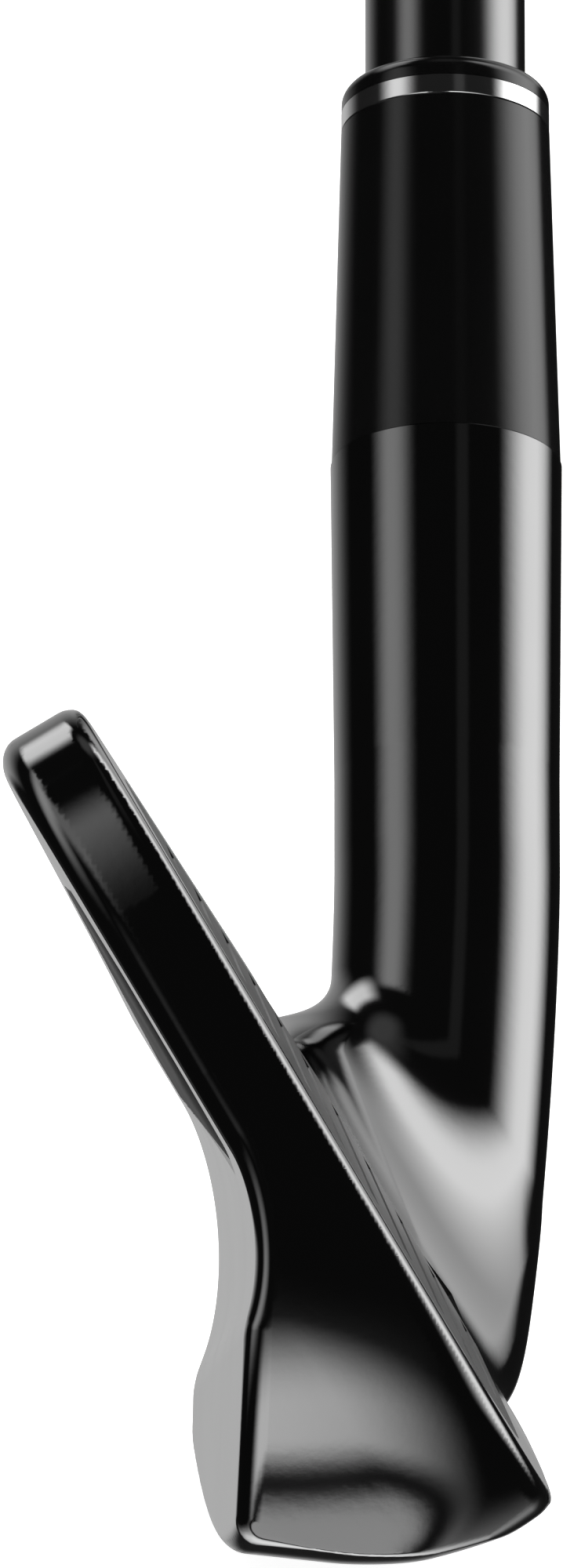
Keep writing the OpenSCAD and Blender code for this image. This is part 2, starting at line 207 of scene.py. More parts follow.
def sole_field(x, y, z):
    """The sole: cambered from toe to heel, rising to the front and to the back from a soft ridge."""
    camber = y * y / (2 * CAMBER_RADIUS)
    front_x = np.maximum(x, 0)
    front = math.tan(FRONT_SLOPE) * x + front_x**2 / (2 * FRONT_RADIUS)
    rear = -math.tan(REAR_SLOPE) * x
    slope = math.tan(FRONT_SLOPE) + front_x / FRONT_RADIUS
    below_front = (front + camber - z) / np.sqrt(1 + slope**2)
    below_rear = (rear + camber - z) * math.cos(REAR_SLOPE)
    return soft_max(below_front, below_rear, RIDGE_R)


# The face's edge is rolled about a line a little outside the face plane, so a crease is left there
FACE_EDGE_R = 1.88
FACE_EDGE_OVER = 0.638
CREASE_R = 0.35
SHARP_R = 0.01
BACK_EDGE_R = 1.53

# Towards the heel these edges give way to softer ones
HEEL_EDGE_R = 3.2
HEEL_CREASE_R = 1.5
HEEL_RIDGE_R = 2.5
HEEL_SOFT_Y = (8, 28)

# The blade thins, the muscle's back draws in and the channel over it opens towards the heel
HEEL_THIN = 3.0
HEEL_THIN_Y = (14, 40)
MUSCLE_PULL = 6.76
MUSCLE_TURN_Y = 20
CREST_R = 0.256
CREST_RISE = 0.341
CHANNEL_TOE_R = 4.07
CHANNEL_HEEL_R = 6.47
CHANNEL_Y = (-TOE_REACH, 20)

# The toe's wall is crowned towards the face, except at its top, and leans in near the ground
CROWN_W = 3.5
CROWN_R = 40
CROWN_T = (42, 32)
CROWN_Y = (0, -20)
TOE_FOOT_Y = -36.2
TOE_FOOT_Z = 7.2
TOE_FOOT_TILT = math.radians(33)
TOE_FOOT_R = 3.0

# The sole's edge, softer at the front than at the back, and sharper under the toe's wall
SOLE_FRONT_R = 1.62
SOLE_REAR_R = 1.32
SOLE_EDGE_X = (-5, 5)
SOLE_TOE_R = 0.3
SOLE_TOE_RUN = (0, 4)


def muscle_field(x, y, z):
    """The deep lower part of the blade, behind a crest that slopes down towards the heel."""
    pulled = share(y, MUSCLE_TURN_Y, HEEL_REACH)
    muscle_x = MUSCLE_PULL * pulled**2 - MUSCLE_BACK
    crest_z = MUSCLE_CREST - CREST_SLOPE * y
    above_crest = (muscle_x + CREST_RISE * (z - crest_z) - x) / math.hypot(1, CREST_RISE)
    return soft_max(muscle_x - x, above_crest, CREST_R)


def blade_field(x, y, z):
    """The blade, in the face's own directions: w out of the face and t up it."""
    w = x * CL + z * SL
    t = z * CL - x * SL
    thinned = HEEL_THIN * share(y, *HEEL_THIN_Y) ** 2
    upper_w = FACE_W - BLADE_THICK - BLADE_TAPER * (y + TOE_REACH - THICK_FROM_TOE) + thinned
    channel_r = mix(CHANNEL_TOE_R, CHANNEL_HEEL_R, share(y, *CHANNEL_Y))
    back = soft_min(upper_w - w, muscle_field(x, y, z), channel_r)
    foot = (TOE_FOOT_Y - y) * math.cos(TOE_FOOT_TILT) + (TOE_FOOT_Z - z) * math.sin(TOE_FOOT_TILT)
    crowned = np.maximum(w - CROWN_W, 0) ** 2 / (2 * CROWN_R)
    crowned = crowned * share(t, *CROWN_T) * eased(share(y, *CROWN_Y))
    toe = soft_max(outline_field(y, t, z) + crowned, foot, TOE_FOOT_R)
    outline = soft_max(toe, behind_axis(y, z) - HEEL_BEHIND, HEEL_BEHIND_R)
    heelward = eased(share(y, *HEEL_SOFT_Y))
    over = FACE_EDGE_OVER * (1 - heelward)
    rolled = soft_max(w - FACE_W - over, outline, mix(FACE_EDGE_R, HEEL_EDGE_R, heelward))
    rounded_back = soft_max(back, outline, mix(BACK_EDGE_R, HEEL_EDGE_R, heelward))
    edges = soft_max(rolled, rounded_back, mix(SHARP_R, HEEL_RIDGE_R, heelward))
    body = soft_max(edges, w - FACE_W, mix(CREASE_R, HEEL_CREASE_R, heelward))
    at_toe = share(outline - np.maximum(w - FACE_W, back), *SOLE_TOE_RUN) * (y < 0)
    sole_r = mix(mix(SOLE_REAR_R, SOLE_FRONT_R, share(x, *SOLE_EDGE_X)), SOLE_TOE_R, at_toe)
    return soft_max(body, sole_field(x, y, z), sole_r)


# The neck: the hosel below the ferrule, which curves back under its bend and ends in a ball
NECK_BEND = 37.5
NECK_FOOT = 3.23
NECK_LEAN = 0.00844
NECK_LEAN_POWER = 1.6
NECK_TOP_S = 43.0
NECK_R = 6.56
NECK_TAPER = 0.0105


def neck_field(x, y, z):
    """About the distance from a rod round the shaft axis."""
    side = behind_axis(y, z)
    s = along_axis(y, z)
    lean = NECK_LEAN * np.maximum(NECK_BEND - s, 0) ** NECK_LEAN_POWER
    radius = NECK_R + NECK_TAPER * np.maximum(s - NECK_TOP_S, 0)
    foot = np.minimum(s - NECK_FOOT, 0)
    return np.sqrt((x - AXIS_X + lean) ** 2 + side**2 + foot**2) - radius


BLEND_LOW_R = 11.78
BLEND_TOP_R = 10.74
BLEND_TOP_Z = 36.0
NECK_SOLE_R = 3.54
STUB = 2.0


def head_field(x, y, z):
    """The head with its hosel a little too long, to be cut to length."""
    blend_r = mix(BLEND_LOW_R, BLEND_TOP_R, share(z, 0, BLEND_TOP_Z))
    neck = soft_max(neck_field(x, y, z), sole_field(x, y, z), NECK_SOLE_R)
    whole = soft_min(blade_field(x, y, z), neck, blend_r)
    return np.maximum(whole, along_axis(y, z) - HOSEL_TOP - STUB)


def field_slope(field, p, step=0.01):
    """The field's gradient at the points p, by central differences."""
    columns = []
    for k in range(3):
        d = np.zeros(3)
        d[k] = step
        ahead, behind = p + d, p - d
        columns.append((field(*ahead.T) - field(*behind.T)) / (2 * step))
    return np.stack(columns, 1)


def corner_count(inside):
    """How many of each grid cell's eight corners are inside."""
    count = inside.astype(np.int8)
    for axis in range(3):
        ahead = np.moveaxis(count, axis, 0)
        count = np.moveaxis(ahead[:-1] + ahead[1:], 0, axis)
    return count


NET_ROUNDS = 5
LEAST_SLOPE = 0.05


def surface_net(field, low, high, pitch):
    """A quad mesh of the field's zero surface on a grid, with its points moved onto the surface."""
    xs, ys, zs = (np.arange(a, b + pitch, pitch) for a, b in zip(low, high))
    grid_y, grid_z = np.meshgrid(ys, zs, indexing="ij")
    values = np.stack([field(np.full_like(grid_y, x), grid_y, grid_z).astype(np.float32) for x in xs])
    inside = values < 0
    count = corner_count(inside)
    cells = (count > 0) & (count < 8)
    index = np.full(cells.shape, -1, np.int64)
    index[cells] = np.arange(cells.sum())
    where = np.argwhere(cells)
    points = np.array(low) + (where + 0.5) * pitch
    for _ in range(NET_ROUNDS):
        value = field(*points.T)
        slope = field_slope(field, points)
        step = value / np.maximum((slope**2).sum(1), LEAST_SLOPE)
        points -= slope * np.clip(step, -pitch, pitch)[:, None]
    quads = []
    for axis in range(3):
        near = np.moveaxis(inside, axis, 0)[:-1]
        far = np.moveaxis(inside, axis, 0)[1:]
        ids = np.moveaxis(index, axis, 0)
        inner = (slice(None), slice(1, -1), slice(1, -1))
        change = near[inner] != far[inner]
        a = ids[:, :-1, :-1][change]
        b = ids[:, 1:, :-1][change]
        c = ids[:, 1:, 1:][change]
        d = ids[:, :-1, 1:][change]
        flip = near[inner][change] ^ (axis == 1)
        forward = np.stack([a, b, c, d], 1)
        quads.append(np.where(flip[:, None], forward, forward[:, ::-1]))
    return points, np.concatenate(quads)


# ---- Meshes ----


def new_object(name, points, faces, matrix=Matrix.Identity(4)):
    """An object from points in millimetres, placed by matrix, and its mesh in metres."""
    mesh = bpy.data.meshes.new(name)
    placed = np.asarray(points) @ np.array(matrix.to_3x3()).T + np.array(matrix.translation)
    mesh.from_pydata((placed * MM).tolist(), [], [tuple(int(i) for i in f) for f in faces])
    mesh.update()
    obj = bpy.data.objects.new(name, mesh)
    bpy.context.scene.collection.objects.link(obj)
    return obj


def prism(name, outline, low, high, matrix):
    """The outline, counter-clockwise in x and y, raised from low to high along z."""
    n = len(outline)
    points = [(x, y, low) for x, y in outline] + [(x, y, high) for x, y in outline]
    sides = [(i, (i + 1) % n, n + (i + 1) % n, n + i) for i in range(n)]
    faces = [tuple(range(n - 1, -1, -1)), tuple(range(n, 2 * n))] + sides
    return new_object(name, points, faces, matrix)


def arc(cx, cz, r, start, end, steps):
    """Points on part of a circle, from one angle to the other in degrees."""
    angles = np.radians(np.linspace(start, end, steps + 1))
    return [(cx + r * math.cos(a), cz + r * math.sin(a)) for a in angles]


def lathe(name, profile, sides=256, matrix=ON_AXIS, sharp=30):
    """A closed profile of (radius, height) points turned round the shaft axis."""
    points, rings = [], []
    turns = np.arange(sides) * 2 * math.pi / sides
    for r, h in profile:
        if r == 0:
            rings.append([len(points)] * sides)
            points.append((0, 0, h))
        else:
            rings.append(list(range(len(points), len(points) + sides)))
            points += [(r * math.cos(a), r * math.sin(a), h) for a in turns]
    faces = []
    for j, ring in enumerate(rings):
        following = rings[(j + 1) % len(rings)]
        if ring[0] == ring[1] and following[0] == following[1]:
            continue
        for i in range(sides):
            k = (i + 1) % sides
            corners = [ring[i], ring[k], following[k], following[i]]
            faces.append(tuple(dict.fromkeys(corners)))
    obj = new_object(name, points, faces, matrix)
    smooth(obj, sharp)
    return obj


def smooth(obj, sharp):
    """Smooth shading, except across edges of more than this many degrees."""
    obj.data.shade_smooth()
    obj.data.set_sharp_from_angle(angle=math.radians(sharp))


def apply_modifiers(obj):
    """Gives the object the mesh that its modifiers make, and removes them."""
    graph = bpy.context.evaluated_depsgraph_get()
    mesh = bpy.data.meshes.new_from_object(obj.evaluated_get(graph))
    obj.modifiers.clear()
    obj.data = mesh


def cut(obj, *cutters):
    """Takes the cutters out of the object, and removes them."""
    for cutter in cutters:
        change = obj.modifiers.new("cut", "BOOLEAN")
        change.operation = "DIFFERENCE"
        change.solver = "MANIFOLD"
        change.object = cutter
    apply_modifiers(obj)
    for cutter in cutters:
        bpy.data.objects.remove(cutter)


# ---- Materials ----


class Nodes:
    """A node tree, with short calls for the nodes that the materials and the studio use."""

    def __init__(self, tree):
        self.tree = tree

    def add(self, kind, **sockets):
        node = self.tree.nodes.new(kind)
        for name, value in sockets.items():
            self.feed(node.inputs[name.replace("_", " ")], value)
        return node

    def feed(self, socket, value):
        if isinstance(value, bpy.types.NodeSocket):
            self.tree.links.new(value, socket)
        else:
            socket.default_value = value

    def math(self, operation, a, b=0.0):
        node = self.tree.nodes.new("ShaderNodeMath")
        node.operation = operation
        self.feed(node.inputs[0], a)
        self.feed(node.inputs[1], b)
        return node.outputs[0]

    def ramp(self, value, start, end, low=0.0, high=1.0):
        """Low before start, high after end, and a smooth change between them."""
        node = self.tree.nodes.new("ShaderNodeMapRange")
        node.interpolation_type = "SMOOTHSTEP"
        node.inputs["From Min"].default_value = min(start, end)
        node.inputs["From Max"].default_value = max(start, end)
        node.inputs["To Min"].default_value = low if start < end else high
        node.inputs["To Max"].default_value = high if start < end else low
        self.feed(node.inputs["Value"], value)
        return node.outputs["Result"]

    def noise(self, scale, detail=3.0, stretch=(1, 1, 1)):
        """Noise over the piece, with its grain's size in 1/m."""
        place = self.add("ShaderNodeTexCoord").outputs["Object"]
        mapping = self.add("ShaderNodeMapping", Vector=place, Scale=stretch)
        texture = self.add("ShaderNodeTexNoise", Vector=mapping.outputs[0], Scale=scale, Detail=detail)
        return texture.outputs["Fac"]

    def bump(self, height, distance, strength=1.0):
        return self.add("ShaderNodeBump", Height=height, Distance=distance, Strength=strength).outputs[0]

    def blend(self, amount, low, high):
        """One colour into the other. The mix node's colour sockets come after its other kinds."""
        node = self.tree.nodes.new("ShaderNodeMix")
        node.data_type = "RGBA"
        self.feed(node.inputs[0], amount)
        self.feed(node.inputs[6], low)
        self.feed(node.inputs[7], high)
        return node.outputs[2]


def new_material(name, **sockets):
    material = bpy.data.materials.new(name)
    material.use_nodes = True
    nodes = Nodes(material.node_tree)
    surface = material.node_tree.nodes["Principled BSDF"]
    for socket, value in sockets.items():
        surface.inputs[socket.replace("_", " ")].default_value = value
    return material, nodes, surface


CLOUD_RANGE = (0.3, 0.7)


def grey(level, warm=0.0):
    return (level * (1 + warm), level, level * (1 - warm), 1.0)


def worn(nodes, surface, dark, light, scale, rough, spread, grain=1500, depth=2e-6):
    """Slight cloudiness in colour and polish, and a very fine grain."""
    cloud = nodes.noise(scale)
    nodes.feed(surface.inputs["Base Color"], nodes.blend(cloud, dark, light))
    polish = nodes.ramp(cloud, *CLOUD_RANGE, rough - spread, rough + spread)
    nodes.feed(surface.inputs["Roughness"], polish)
    nodes.feed(surface.inputs["Normal"], nodes.bump(nodes.noise(grain), depth))


def black_plating():
    material, nodes, surface = new_material("black_plating", Metallic=1.0)
    worn(nodes, surface, grey(0.2), grey(0.225), scale=60, rough=0.08, spread=0.012)
    return material


def blasted_plating():
    """The face: the same plating over a blasted surface, with fine milling marks along it."""
    material, nodes, surface = new_material("blasted_plating", Metallic=1.0)
    worn(nodes, surface, grey(0.16), grey(0.2), scale=90, rough=0.36, spread=0.04)
    milling = nodes.noise(1400, detail=2.0, stretch=(1, 0.04, 1))
    grain = nodes.noise(6000, detail=4.0)
    height = nodes.math("ADD", nodes.math("MULTIPLY", milling, 0.6), grain)
    nodes.feed(surface.inputs["Normal"], nodes.bump(height, 8e-6))
    return material


def black_shaft():
    material, nodes, surface = new_material("black_shaft", Metallic=1.0)
    worn(nodes, surface, grey(0.19), grey(0.21), scale=40, rough=0.16, spread=0.012)
    return material


def gloss_black():
    material, nodes, surface = new_material("gloss_black", IOR=1.5)
    worn(nodes, surface, grey(0.0025), grey(0.004), scale=80, rough=0.13, spread=0.015)
    return material


def polished_ring():
    material, nodes, surface = new_material("polished_ring", Metallic=1.0)
    worn(nodes, surface, grey(0.84), grey(0.88), scale=120, rough=0.1, spread=0.02)
    return material


def satin_badge():
    material, nodes, surface = new_material("satin_badge", Metallic=1.0)
    worn(nodes, surface, grey(0.09), grey(0.12), scale=90, rough=0.33, spread=0.03)
    brushing = nodes.noise(2500, detail=2.0, stretch=(1, 0.03, 1))
    nodes.feed(surface.inputs["Normal"], nodes.bump(brushing, 4e-6))
    return material


def grip_rubber():
    material, nodes, surface = new_material("grip_rubber", IOR=1.5)
    worn(nodes, surface, grey(0.012), grey(0.022), scale=70, rough=0.62, spread=0.07)
    coarse = nodes.math("MULTIPLY", nodes.noise(900), 0.5)
    grain = nodes.math("ADD", nodes.noise(5000, detail=4.0), coarse)
    nodes.feed(surface.inputs["Normal"], nodes.bump(grain, 2e-5))
    return material


def plain_material(name, dark, light, rough, metallic=0.0):
    material, nodes, surface = new_material(name, Metallic=metallic)
    worn(nodes, surface, dark, light, scale=200, rough=rough, spread=0.05, depth=1e-5)
    return material


STRIPE_COUNT = 6


def striped_band():
    """A vinyl band with plain stripes round it and no words."""
    material, nodes, surface = new_material("striped_band")
    place = nodes.add("ShaderNodeTexCoord").outputs["Generated"]
    height = nodes.add("ShaderNodeSeparateXYZ", Vector=place).outputs["Z"]
    wave = nodes.math("FRACT", nodes.math("MULTIPLY", height, STRIPE_COUNT))
    stripe = nodes.ramp(wave, 0.55, 0.58)
    cloud = nodes.noise(150)
    silver = nodes.blend(cloud, grey(0.42), grey(0.5))
    nodes.feed(surface.inputs["Base Color"], nodes.blend(stripe, grey(0.012), silver))
    nodes.feed(surface.inputs["Roughness"], nodes.ramp(cloud, *CLOUD_RANGE, 0.25, 0.32))
    return material


# ---- Pieces ----


def ride(obj, material, *nodes):
    """Puts a finished piece, with its material, on the club's one body, and hides the CAD nodes it stands
    for.
    """
    obj.data.materials.clear()
    obj.data.materials.append(material)
    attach(obj, "root")
    if nodes:
        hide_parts(*nodes)
    return obj


PLATE_HEEL_Y = 27
PLATE_FOOT_T = 3.4
PLATE_CORNER = 3
ARC_STEPS = 15


def plate_outline():
    """The face plate's outline: the blade's, set in by the rim, and cut off at the heel and the foot."""
    heel_top = [(PLATE_HEEL_Y, topline_t(PLATE_HEEL_Y) - FACE_RIM / TOPLINE_RUN)]
    tangent_angle = 90 - math.degrees(math.atan(TOPLINE_SLOPE))
    high_toe = arc(TOE_MID_Y, TOE_MID_T, TOE_RADIUS - FACE_RIM, tangent_angle, 180, ARC_STEPS)
    low_toe = []
    for a in np.radians(np.linspace(0, 90, ARC_STEPS + 1)):
        y = LOW_TOE_Y - (TOE_REACH + LOW_TOE_Y - FACE_RIM) * math.cos(a) ** (2 / LOW_TOE_POWER)
        t = LOW_TOE_T - (LOW_TOE_T - PLATE_FOOT_T) * math.sin(a) ** (2 / LOW_TOE_POWER)
        low_toe.append((y, t))
    foot = [(PLATE_HEEL_Y - PLATE_CORNER, PLATE_FOOT_T), (PLATE_HEEL_Y, PLATE_FOOT_T + PLATE_CORNER)]
    return heel_top + high_toe + low_toe + foot


BADGE_OUTLINE = [(10, 26), (10, 28.6), (-17, 42.5), (-26, 43), (-31, 38), (-31, 31), (-27.6, 25)]


def on_badge_seat():
    """A frame on the blade's tapered back, with x along the ground and y up the blade."""
    seat_w = FACE_W - BLADE_THICK - BLADE_TAPER * (TOE_REACH - THICK_FROM_TOE)
    tilt = Matrix.Rotation(math.atan(BLADE_TAPER), 4, "Y")
    return ON_FACE @ Matrix.Translation((0, 0, seat_w)) @ tilt


HEAD_LOW = (-24.6, -41.0, -1.0)
HEAD_HIGH = (14.6, 73.0, 62.0)
HEAD_PITCH = 0.3
CLEAR = 5


def head_body():
    """The shell, with the face plate's pocket, the badge's seat and the hosel's bore cut into it."""
    points, quads = surface_net(head_field, HEAD_LOW, HEAD_HIGH, HEAD_PITCH)
    head = new_object("head_body_shell", points, quads)
    pocket = prism("pocket", plate_outline(), HOLLOW_FRONT_W, FACE_W + CLEAR, ON_FACE)
    seat = prism("seat", BADGE_OUTLINE, -CLEAR, BADGE_T + PAD_T, on_badge_seat())
    bore_r = TIP_R + GLUE_T
    wide_r = HOSEL_R + CLEAR
    end_s = HOSEL_TOP + STUB + CLEAR
    bore = [(0, BORE_FLOOR), (bore_r, BORE_FLOOR), (bore_r, HOSEL_TOP)]
    bore += [(wide_r, HOSEL_TOP), (wide_r, end_s), (0, end_s)]
    cut(head, pocket, seat, lathe("bore", bore, sides=128))
    head_normals(head)
    return head


OFF_FIELD = 0.05


def head_normals(head):
    """Exact normals from the field on the outer surface, and flat ones on what was cut."""
    mesh = head.data
    points = np.zeros(len(mesh.vertices) * 3)
    mesh.vertices.foreach_get("co", points)
    points = points.reshape(-1, 3) / MM
    slope = field_slope(head_field, points)
    slope /= np.maximum(np.linalg.norm(slope, axis=1), 1e-9)[:, None]
    corners = np.zeros(len(mesh.loops), np.int64)
    mesh.loops.foreach_get("vertex_index", corners)
    sizes = np.zeros(len(mesh.polygons), np.int64)
    mesh.polygons.foreach_get("loop_total", sizes)
    centres = np.zeros(len(mesh.polygons) * 3)
    mesh.polygons.foreach_get("center", centres)
    flat = np.zeros(len(mesh.polygons) * 3)
    mesh.polygons.foreach_get("normal", flat)
    off = np.abs(head_field(*(centres.reshape(-1, 3) / MM).T)) > OFF_FIELD
    is_cut = np.repeat(off, sizes)
    facing = np.repeat(flat.reshape(-1, 3), sizes, axis=0)
    normals = np.where(is_cut[:, None], facing, slope[corners])
    mesh.polygons.foreach_set("use_smooth", np.ones(len(mesh.polygons), bool))
    mesh.normals_split_custom_set(normals.tolist())


# The ferrule's pieces are shy of each other's edges, so that each joint shows as a fine line
FOOT_SHY = 0.03
RING_SHY = 0.01
CAP_SHY = 0.02
BEVEL = 0.08
SPIGOT_R = 5.4
CAP_LIP = 0.6
CAP_SHOULDER = 0.9


def ferrule_body():
    foot_r = HOSEL_R - FOOT_SHY
    foot, top = HOSEL_TOP, HOSEL_TOP + FERRULE_H
    lip = top + RING_H + CAP_LIP
    profile = [(TIP_R, foot), (foot_r - BEVEL, foot), (foot_r, foot + BEVEL)]
    profile += [(FERRULE_TOP_R, top - BEVEL), (FERRULE_TOP_R - BEVEL, top)]
    profile += [(SPIGOT_R, top), (SPIGOT_R, lip), (TIP_R, lip)]
    return lathe("ferrule_taper", profile)


def ferrule_ring():
    outer = FERRULE_TOP_R - RING_SHY
    foot = HOSEL_TOP + FERRULE_H
    top = foot + RING_H
    edge = BEVEL / 2
    profile = [(SPIGOT_R, foot), (outer - edge, foot), (outer, foot + edge)]
    profile += [(outer, top - edge), (outer - edge, top), (SPIGOT_R, top)]
    return lathe("ferrule_bright_ring", profile)


def ferrule_cap():
    outer = FERRULE_TOP_R - CAP_SHY
    foot = HOSEL_TOP + FERRULE_H + RING_H
    shoulder = arc(outer - CAP_SHOULDER, foot + CAP_H - CAP_SHOULDER, CAP_SHOULDER, 0, 90, 16)
    profile = [(SPIGOT_R, foot), (outer, foot)] + shoulder
    profile += [(TIP_R, foot + CAP_H), (TIP_R, foot + CAP_LIP), (SPIGOT_R, foot + CAP_LIP)]
    return lathe("ferrule_end_cap", profile)


STEP_RISE = (BUTT_R - TIP_R) / STEP_COUNT
STEP_LEN = 0.6
STEP_SOFT = 0.15
STEP_SOFT_SHARE = 0.15
BESIDE_STEP = 0.6

# Inside, where nothing is seen, the tube has one wall and one cone, which ends above the last step
TUBE_WALL = 0.5
CONE_PAST_STEPS = 20


def step_start(i):
    return FIRST_STEP + i * STEP_PITCH


def shaft():
    """The stepped tube. Short stretches beside each step keep the shading of the long ones straight."""
    soft_rise = STEP_RISE * STEP_SOFT_SHARE
    profile = [(TIP_R, BORE_FLOOR)]
    for i in range(STEP_COUNT):
        low_r = TIP_R + i * STEP_RISE
        high_r = low_r + STEP_RISE
        foot = step_start(i)
        top = foot + STEP_LEN
        profile += [(low_r, foot - BESIDE_STEP), (low_r, foot), (low_r + soft_rise, foot + STEP_SOFT)]
        profile += [(high_r - soft_rise, top - STEP_SOFT), (high_r, top), (high_r, top + BESIDE_STEP)]
    profile += [(BUTT_R, GRIP_TOP), (BUTT_R - TUBE_WALL, GRIP_TOP)]
    profile += [(BUTT_R - TUBE_WALL, step_start(STEP_COUNT - 1) + CONE_PAST_STEPS)]
    profile += [(TIP_R - TUBE_WALL, FIRST_STEP), (TIP_R - TUBE_WALL, BORE_FLOOR)]
    return lathe("stepped_shaft", profile)


# The band lies just below one of the steps
BAND_STEP = 8
BAND_BELOW = 34
BAND_H = 30
BAND_T = 0.1


def shaft_band():
    r = TIP_R + BAND_STEP * STEP_RISE
    foot = step_start(BAND_STEP) - BAND_BELOW
    profile = [(r, foot), (r + BAND_T, foot), (r + BAND_T, foot + BAND_H), (r, foot + BAND_H)]
    return lathe("shaft_stripes", profile)


GRIP_ROWS = 640
GRIP_SIDES = 240
MOUTH_ROLL = 0.8
BUTT_FLARE = 1.6
BUTT_FLARE_RUN = 60

# Crossed grooves in fields along the sleeve, and rings at its two ends
PATTERN_DEPTH = 0.45
GRIP_STARTS = 9
GROOVE_PITCH = 6.5
GROOVE_HALF = 0.13
FIELD_COUNT = 5
FIELD_START = 18
FIELD_LEN = 38
FIELD_PITCH = 44
FIELD_EDGE = 0.8
END_RING_PITCH = 3.0
END_RING_HALF = 0.18
END_RING_EDGE = 0.5
MOUTH_RINGS = (2, 16)
BUTT_RINGS = (13, 2)


def grip_radius(s):
    """The sleeve's outer radius at s, as in the part's source."""
    heights = [GRIP_MOUTH, GRIP_MOUTH + MOUTH_ROLL]
    heights += [GRIP_TOP - BUTT_FLARE_RUN, GRIP_TOP - BUTT_PARALLEL, GRIP_TOP]
    radii = [GRIP_MOUTH_R - MOUTH_ROLL, GRIP_MOUTH_R, GRIP_BUTT_R - BUTT_FLARE, GRIP_BUTT_R, GRIP_BUTT_R]
    return np.interp(s, heights, radii)


def ridge(phase, width):
    """1 in the middle of a groove at whole numbers of phase, and 0 away from it."""
    away = np.abs(phase - np.round(phase))
    return np.clip(1 - away / width, 0, 1) ** 0.5


def window(s, start, end, edge):
    """1 between the start and the end, and 0 outside, with a straight edge at each."""
    return np.clip((s - start) / edge, 0, 1) * np.clip((end - s) / edge, 0, 1)


def grip_sleeve():
    """The rubber sleeve: crossed grooves leave diamonds, with rings at both ends and bands between."""
    s = np.linspace(GRIP_MOUTH, GRIP_TOP, GRIP_ROWS)[:, None]
    turn = np.arange(GRIP_SIDES)[None, :] / GRIP_SIDES
    along = (s - GRIP_MOUTH) / GROOVE_PITCH
    left = ridge(turn * GRIP_STARTS + along, GROOVE_HALF)
    right = ridge(turn * GRIP_STARTS - along, GROOVE_HALF)
    starts = [GRIP_MOUTH + FIELD_START + FIELD_PITCH * k for k in range(FIELD_COUNT)]
    fields = sum(window(s, start, start + FIELD_LEN, FIELD_EDGE) for start in starts)
    at_mouth = window(s, GRIP_MOUTH + MOUTH_RINGS[0], GRIP_MOUTH + MOUTH_RINGS[1], END_RING_EDGE)
    at_butt = window(s, GRIP_TOP - BUTT_RINGS[0], GRIP_TOP - BUTT_RINGS[1], END_RING_EDGE)
    mouth_rings = ridge((s - GRIP_MOUTH) / END_RING_PITCH, END_RING_HALF) * at_mouth
    butt_rings = ridge((s - GRIP_TOP) / END_RING_PITCH, END_RING_HALF) * at_butt
    grooves = np.maximum(np.maximum(left, right) * fields, mouth_rings + butt_rings)
    radius = grip_radius(s) - PATTERN_DEPTH * grooves
    inner = BUTT_R + TAPE_T
    angle = turn * 2 * math.pi
    heights = np.broadcast_to(s, radius.shape)
    rows = np.stack([radius * np.cos(angle), radius * np.sin(angle), heights], -1).reshape(-1, 3)
    circle = np.stack([np.cos(angle[0]), np.sin(angle[0])], 1) * inner
    top = np.c_[circle, np.full(GRIP_SIDES, GRIP_TOP)]
    bottom = np.c_[circle, np.full(GRIP_SIDES, GRIP_MOUTH)]
    points = np.concatenate([rows, top, bottom])
    ring_count = GRIP_ROWS + 2
    j = np.arange(ring_count)[:, None] * GRIP_SIDES
    following = (j + GRIP_SIDES) % (ring_count * GRIP_SIDES)
    i = np.arange(GRIP_SIDES)[None, :]
    k = (i + 1) % GRIP_SIDES
    faces = np.stack([j + i, j + k, following + k, following + i], -1).reshape(-1, 4)
    obj = new_object("grip_rubber_sleeve", points, faces, ON_AXIS)
    smooth(obj, 50)
    return obj


CAP_ROLL = 1.8
DISH_R = 9.0
DISH_DEPTH = 0.5
DISH_SLANT = 0.4
BOSS_R = 4.2
BOSS_DEPTH = 0.2
BOSS_SLANT = 0.3


def grip_cap():
    """The butt cap: a rolled edge, a shallow dish and a low boss round the vent."""
    top = GRIP_TOP + GRIP_CAP_H
    dish_s = top - DISH_DEPTH
    boss_s = top - BOSS_DEPTH
    profile = [(VENT_R, GRIP_TOP), (GRIP_BUTT_R, GRIP_TOP)]
    profile += arc(GRIP_BUTT_R - CAP_ROLL, top - CAP_ROLL, CAP_ROLL, 0, 90, 16)
    profile += [(DISH_R, top), (DISH_R - DISH_SLANT, dish_s), (BOSS_R, dish_s)]
    profile += [(BOSS_R - BOSS_SLANT, boss_s), (VENT_R + BOSS_SLANT, boss_s), (VENT_R, dish_s)]
    return lathe("grip_end_cap", profile)


BADGE_ROUND = 0.25


def back_badge():
    """The badge: its outline raised off the blade's back, with its edges rounded."""
    obj = prism("back_badge_plate", BADGE_OUTLINE, 0, BADGE_T, on_badge_seat())
    round_over = obj.modifiers.new("edge", "BEVEL")
    round_over.width = BADGE_ROUND * MM
    round_over.segments = 3
    round_over.limit_method = "ANGLE"
    round_over.angle_limit = math.radians(50)
    apply_modifiers(obj)
    smooth(obj, 40)
    return obj


plating = black_plating()
rubber = grip_rubber()
ride(head_body(), plating, "head_body")
ride(back_badge(), satin_badge(), "back_badge")
ride(ferrule_body(), gloss_black(), "ferrule_body")
ride(ferrule_ring(), polished_ring(), "ferrule_ring")
ride(ferrule_cap(), gloss_black(), "ferrule_cap")
ride(shaft(), black_shaft(), "shaft")
ride(shaft_band(), striped_band(), "shaft_band")
ride(grip_sleeve(), rubber, "grip_sleeve")
ride(grip_cap(), rubber, "grip_cap")

